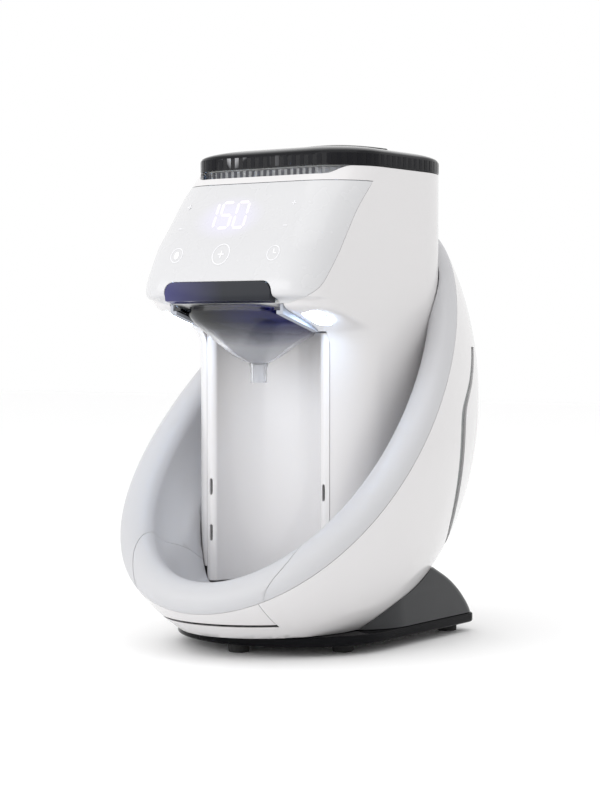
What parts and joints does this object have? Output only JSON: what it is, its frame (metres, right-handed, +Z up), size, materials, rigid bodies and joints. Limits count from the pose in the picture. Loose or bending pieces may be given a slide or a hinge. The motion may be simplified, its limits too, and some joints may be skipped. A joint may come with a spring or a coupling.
{
  "type": "formula dispenser",
  "caption": "Baby formula machine: an upright tower in a tilted egg-shaped cradle, with a powder hopper, pull-out mixing funnel, bottle bay, drip tray and rear water tank.",
  "frame": {"origin": "bottom centre of the bounding box, on the plane the feet stand on", "axes": "+Z up, the bottle bay and panel face -Y, +X to the right of someone facing the front"},
  "size_m": [0.2082, 0.2786, 0.319],
  "materials": {
    "gloss_white": "high gloss moulded white",
    "satin_white": "satin cool light grey",
    "panel_white": "clear-coated translucent white",
    "inner_white": "plain moulded white",
    "smoke": "smoked transparent plastic",
    "clear": "clear transparent plastic",
    "grey_tank": "grey transparent plastic",
    "gloss_black": "high gloss black",
    "dark_grey": "satin dark grey",
    "rubber": "matt",
    "silicone": "soft translucent grey",
    "steel": "fine brushed",
    "circuit": "green circuit laminate",
    "light_lens": "frosted lens, lit blue-white"
  },
  "bodies": {
    "housing": {"base_plate": "gloss_black", "tail_cover": "dark_grey", "cradle_bowl": "gloss_white", "cradle_liner": "satin_white", "tower_shell": "gloss_white", "bay_panel": "gloss_white", "control_fascia": "panel_white", "light_lens_left": "light_lens", "light_lens_right": "light_lens", "funnel_rail_left": "inner_white", "funnel_rail_right": "inner_white", "funnel_canopy": "inner_white", "powder_chute": "inner_white", "dosing_motor": "steel", "top_deck": "inner_white", "chassis": "inner_white", "water_pump": "dark_grey", "water_inlet_port": "inner_white", "heater_block": "steel", "main_board": "circuit", "inlet_hose": "silicone", "pump_hose": "silicone", "outlet_hose": "silicone", "water_nozzle": "steel", "display_board": "circuit", "display_module": "gloss_black", "power_inlet": "gloss_black", "inlet_pin_1": "steel", "inlet_pin_2": "steel", "foot_front": "rubber", "foot_left": "rubber", "foot_right": "rubber", "foot_rear_left": "rubber", "foot_rear_right": "rubber", "base_screw_1": "steel", "base_screw_2": "steel", "base_screw_3": "steel", "base_screw_4": "steel"},
    "powder_unit": {"powder_hopper": "clear"},
    "lid": {"hopper_lid": "smoke", "lid_grip": "gloss_black", "lid_seal": "silicone"},
    "rotor": {"dosing_wheel": "satin_white", "stirrer": "satin_white"},
    "coupler": {"drive_coupler": "dark_grey"},
    "funnel": {"mixing_funnel": "smoke", "funnel_handle": "smoke"},
    "tray": {"drip_tray": "satin_white", "tray_front": "gloss_white"},
    "tank": {"water_tank": "grey_tank", "tank_cover": "gloss_white", "tank_lid": "silicone", "valve_body": "inner_white"},
    "valve": {"valve_plunger": "silicone", "valve_spring": "steel"}
  },
  "joints": [
    {"name": "hopper_lift", "type": "slide", "parent": "housing", "child": "powder_unit", "axis": [0, 0, 1], "range_m": [0, 0.06]},
    {"name": "lid_lift", "type": "slide", "parent": "powder_unit", "child": "lid", "axis": [0, 0, 1], "range_m": [0, 0.04]},
    {"name": "rotor_spin", "type": "hinge", "parent": "powder_unit", "child": "rotor", "pos_m": [0, 0.00623, 0.254], "axis": [0, 0, 1], "continuous": true},
    {"name": "coupler_spin", "type": "hinge", "parent": "housing", "child": "coupler", "pos_m": [0, 0.00623, 0.249], "axis": [0, 0, 1], "continuous": true},
    {"name": "funnel_slide", "type": "slide", "parent": "housing", "child": "funnel", "axis": [0, -0.9613, 0.2756], "range_m": [0, 0.095]},
    {"name": "tray_lift", "type": "slide", "parent": "housing", "child": "tray", "axis": [0, -0.7169, 0.6972], "range_m": [0, 0.09]},
    {"name": "tank_slide", "type": "slide", "parent": "housing", "child": "tank", "axis": [0, 1, 0], "range_m": [0, 0.12]},
    {"name": "valve_push", "type": "slide", "parent": "tank", "child": "valve", "axis": [0, 1, 0], "range_m": [0, 0.003], "stiffness_N_per_m": 150, "springref_m": -0.003}
  ],
  "couplings": [
    {"joint": "coupler_spin", "follows": "rotor_spin", "ratio": 1}
  ]
}
